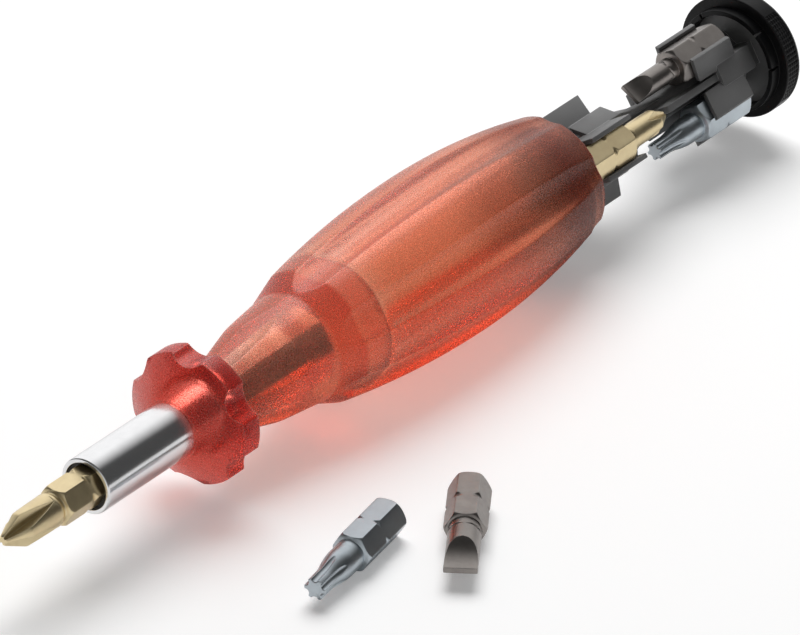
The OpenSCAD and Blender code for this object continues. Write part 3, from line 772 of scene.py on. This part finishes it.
def build_magazine():
    bm = bmesh.new()
    add_skin(bm, *revolve(magazine_spine, SPINE_STEPS))
    for arm_x, lean, roll in ((FRONT_ARM_X, FRONT_LEAN, FRONT_ROLL), (REAR_ARM_X, REAR_LEAN, REAR_ROLL)):
        arm_end = arm_x + ARM_LEN
        arm = [(arm_x, ARM_FOOT), (arm_end, ARM_FOOT), (arm_end + lean, ARM_TOP), (arm_x + lean, ARM_TOP)]
        bar_x, bar_end = arm_x + ARM_REACH, arm_end + BAR_TAIL
        bar = [(bar_x, 0), (bar_x, BAR_R), (bar_end - BAR_SLOPE, BAR_R), (bar_end, BAR_R - BAR_SLOPE),
               (bar_end, 0)]
        for k in range(3):
            for side in (-1, 1):
                prism(bm, arm, side * (POCKET_HALF + ARM_T / 2), ARM_T / 2, roll + THIRD * k, ARM_EDGE)
            prism(bm, bar, 0, BAR_HALF, roll + SIXTH + THIRD * k, BAR_EDGE)
    tail_x, tail_end = REAR_ARM_X + ARM_LEN + BAR_TAIL - BAR_SLOPE, BACK_DISC_X + SINK
    tail_r = BAR_R - BAR_SLOPE - TAIL_STEP
    tail = [(tail_x, 0), (tail_x, tail_r), (tail_end, tail_r), (tail_end, 0)]
    fin_x, fin_bend = DISC_X + DISC_T / 2, FRONT_ARM_X + ARM_LEN + BAR_TAIL - BAR_SLOPE
    tip_x, hex_x = REAR_BASE_X - BIT_LEN, REAR_BASE_X - BIT_LEN + TIP
    fin = [(fin_x, 0), (fin_x, FIN_R), (fin_bend, FIN_R), (tip_x, FIN_LOW_R), (hex_x, FIN_ROOT_R), (hex_x, 0)]
    rib_x, rib_end = FRONT_BASE_X + BIT_LEN + RIB_START, REAR_ARM_X + ARM_REACH + SINK
    rib = [(rib_x, 0), (rib_x, FIN_ROOT_R), (rib_x + RIB_SLOPE, FIN_R), (rib_end, FIN_R), (rib_end, 0)]
    for k in range(3):
        prism(bm, tail, 0, BAR_HALF, SIXTH + THIRD * k, FIN_EDGE)
        prism(bm, fin, 0, FIN_T / 2, THIRD * k, FIN_EDGE)
        prism(bm, rib, 0, FIN_T / 2, SIXTH + THIRD * k, FIN_EDGE)
    bm.verts.index_update()
    verts = [v.co.copy() for v in bm.verts]
    faces = [[v.index for v in f.verts] for f in bm.faces]
    bm.free()
    return verts, faces


piece("magazine_frame", *build_magazine(), "carrier", "magazine", "black", BLACK, sharp=40)


# End cap


def from_third(degrees):
    """Signed angle from the nearest whole third of a turn."""
    return (degrees + SIXTH) % THIRD - SIXTH


def saw(t):
    return 1 - abs(2 * (t % 1.0) - 1)


def knurl(x, from_patch):
    """Depth of the diamonds on the cap's edge, at an angle from the middle of a knurled patch."""
    if abs(from_patch) >= KNURL_TEETH * KNURL_PITCH:
        return 0.0
    across = saw(from_patch / KNURL_PITCH)
    along = saw((x - CAP_X - CAP_EDGE) / (CAP_EDGE_LEN - CAP_EDGE) * KNURL_ROWS)
    return KNURL_DEPTH * (1 - min(across, along, KNURL_FLAT) / KNURL_FLAT)


def cap_outline(phi):
    """Plug with slits beside its three spring tabs, straight edge with knurled patches, domed back."""
    degrees = math.degrees(phi) - SIXTH
    slit = abs(abs(from_third(degrees)) - TAB_ANGLE / 2) < math.degrees(TAB_SLIT / 2 / PLUG_R)
    plug_x = CAP_X - (SLIT_FLOOR if slit else PLUG_LEN)
    hollow_x, edge_end = CAP_X + CAP_HOLLOW, CAP_X + CAP_EDGE_LEN
    seat_x, seat_r = hollow_x + STUB_LEN + GAP, STUB_R + GAP
    outline = rounded([(seat_x, 0, 0), (seat_x, seat_r, 0), (hollow_x, seat_r, 0),
                       (hollow_x, PLUG_IN_R, HOLLOW_ROUND), (plug_x, PLUG_IN_R, PLUG_ROUND),
                       (plug_x, PLUG_R, PLUG_ROUND), (CAP_X, PLUG_R, PLUG_FOOT_ROUND),
                       (CAP_X, CAP_R, CAP_EDGE), (edge_end, CAP_R, 0)])[:-1]
    start_x = edge_end + KNURL_RUN_OUT
    from_patch = from_third(degrees - KNURL_SHIFT)
    outline += [(x, CAP_R - knurl(x, from_patch)) for x in spread(CAP_X + CAP_EDGE + GAP, start_x, 32)]
    dome_c = CAP_X + CAP_T - CAP_DOME_R
    shoulder_r = CAP_R - CAP_ROUND
    rise = dome_c + math.sqrt(CAP_DOME_R ** 2 - shoulder_r ** 2) - start_x
    outline += [(start_x + rise * math.sin(a), CAP_R - CAP_ROUND * (1 - math.cos(a)))
                for a in spread(0, math.pi / 2, 10)]
    outline += [(dome_c + math.sqrt(CAP_DOME_R ** 2 - r * r), r) for r in spread(shoulder_r, 0, 14)]
    return outline + [(CAP_X + CAP_T, 0.0)]


piece("cap_knurled", *revolve(cap_outline, CAP_STEPS), "carrier", "end_cap", "black", CAP_BLACK, sharp=35)


# Stage, light and camera, in metres; TOWARDS is the level direction in which the camera looks
TARGET = Vector((0.0702, 0.007, -0.0145))
TOWARDS = Vector((0.793, 0.609, 0.0))
UP = Vector((0.0, 0.0, 1.0))
WHITE = (1.0, 1.0, 1.0)
FLOOR_GREY, FLOOR_SIZE, FLOOR_DROP = (0.82, 0.82, 0.82), 6.0, 0.00005
FLOOR_GLOW, FLOOR_GLOW_BEYOND = 0.24, 0.04
DARK_SIDE = 0.06
BEHIND_TILT, BEHIND_LEVEL, BEHIND_START, BEHIND_END = 0.45, 1.0, 0.59, 1.0
FILL_TILT, FILL_LEVEL, FILL_START, FILL_END = 0.2, 0.45, 0.62, 0.95
KEY_LEAN, KEY_DISTANCE, KEY_SIZE, KEY_WATTS = 34, 1.6, 1.3, 23.0
CAMERA_AT, CAMERA_LENS, CAMERA_SENSOR = (-0.7473, -0.6203, 0.6005), 316.4, 36.0


def studio_floor():
    """Pale matt floor with a faint glow, stronger where the camera sees it than through the object."""
    mat, tree = new_material("studio_floor")
    path = node(tree, "LightPath").outputs
    beyond = maths(tree, "MAXIMUM", path["Is Glossy Ray"], path["Is Transmission Ray"])
    beyond = maths(tree, "MULTIPLY", beyond, FLOOR_GLOW_BEYOND)
    level = maths(tree, "MULTIPLY_ADD", path["Is Camera Ray"], FLOOR_GLOW, beyond)
    glow = node(tree, "Emission", {"Color": rgba(WHITE), "Strength": level})
    matt = node(tree, "BsdfDiffuse", {"Color": rgba(FLOOR_GREY)})
    both = node(tree, "AddShader", {0: glow.outputs[0], 1: matt.outputs[0]})
    close(mat, tree, both.outputs[0])
    mesh = bpy.data.meshes.new("studio_floor")
    z = cad_box[0][2] - FLOOR_DROP
    corners = [(x * FLOOR_SIZE, y * FLOOR_SIZE, z) for x, y in ((-1, -1), (1, -1), (1, 1), (-1, 1))]
    mesh.from_pydata(corners, [], [(0, 1, 2, 3)])
    mesh.materials.append(mat)
    obj = bpy.data.objects.new("studio_floor", mesh)
    bpy.context.scene.collection.objects.link(obj)


def studio_world():
    """White behind the object, a dimmer fill on the camera's side, dark elsewhere; the camera sees white."""
    world = bpy.data.worlds.new("studio")
    bpy.context.scene.world = world
    world.use_nodes = True
    tree = world.node_tree
    tree.nodes.clear()
    way = node(tree, "TexCoord").outputs["Generated"]
    behind = dot(tree, way, TOWARDS + UP * BEHIND_TILT)
    before = dot(tree, way, UP * FILL_TILT - TOWARDS)
    level = maths(tree, "MAXIMUM",
                  span(tree, behind, DARK_SIDE, BEHIND_LEVEL, BEHIND_START, BEHIND_END),
                  span(tree, before, DARK_SIDE, FILL_LEVEL, FILL_START, FILL_END))
    level = maths(tree, "MAXIMUM", level, node(tree, "LightPath").outputs["Is Camera Ray"])
    back = node(tree, "Background", {"Color": rgba(WHITE), "Strength": level})
    node(tree, "OutputWorld", {"Surface": back.outputs[0]})


def aim(obj):
    obj.rotation_euler = (TARGET - obj.location).to_track_quat("-Z", "Y").to_euler()
    bpy.context.scene.collection.objects.link(obj)


studio_floor()
studio_world()

light = bpy.data.lights.new("key", "AREA")
light.shape = "DISK"
light.size = KEY_SIZE
light.energy = KEY_WATTS
lamp = bpy.data.objects.new("key", light)
lamp.location = TARGET + (TOWARDS * math.tan(math.radians(KEY_LEAN)) + UP).normalized() * KEY_DISTANCE
lamp.visible_glossy = False
aim(lamp)

camera = bpy.data.objects.new("camera", bpy.data.cameras.new("camera"))
camera.data.lens = CAMERA_LENS
camera.data.sensor_width = CAMERA_SENSOR
camera.location = CAMERA_AT
aim(camera)
bpy.context.scene.camera = camera
bpy.context.scene.view_settings.view_transform = "Standard"
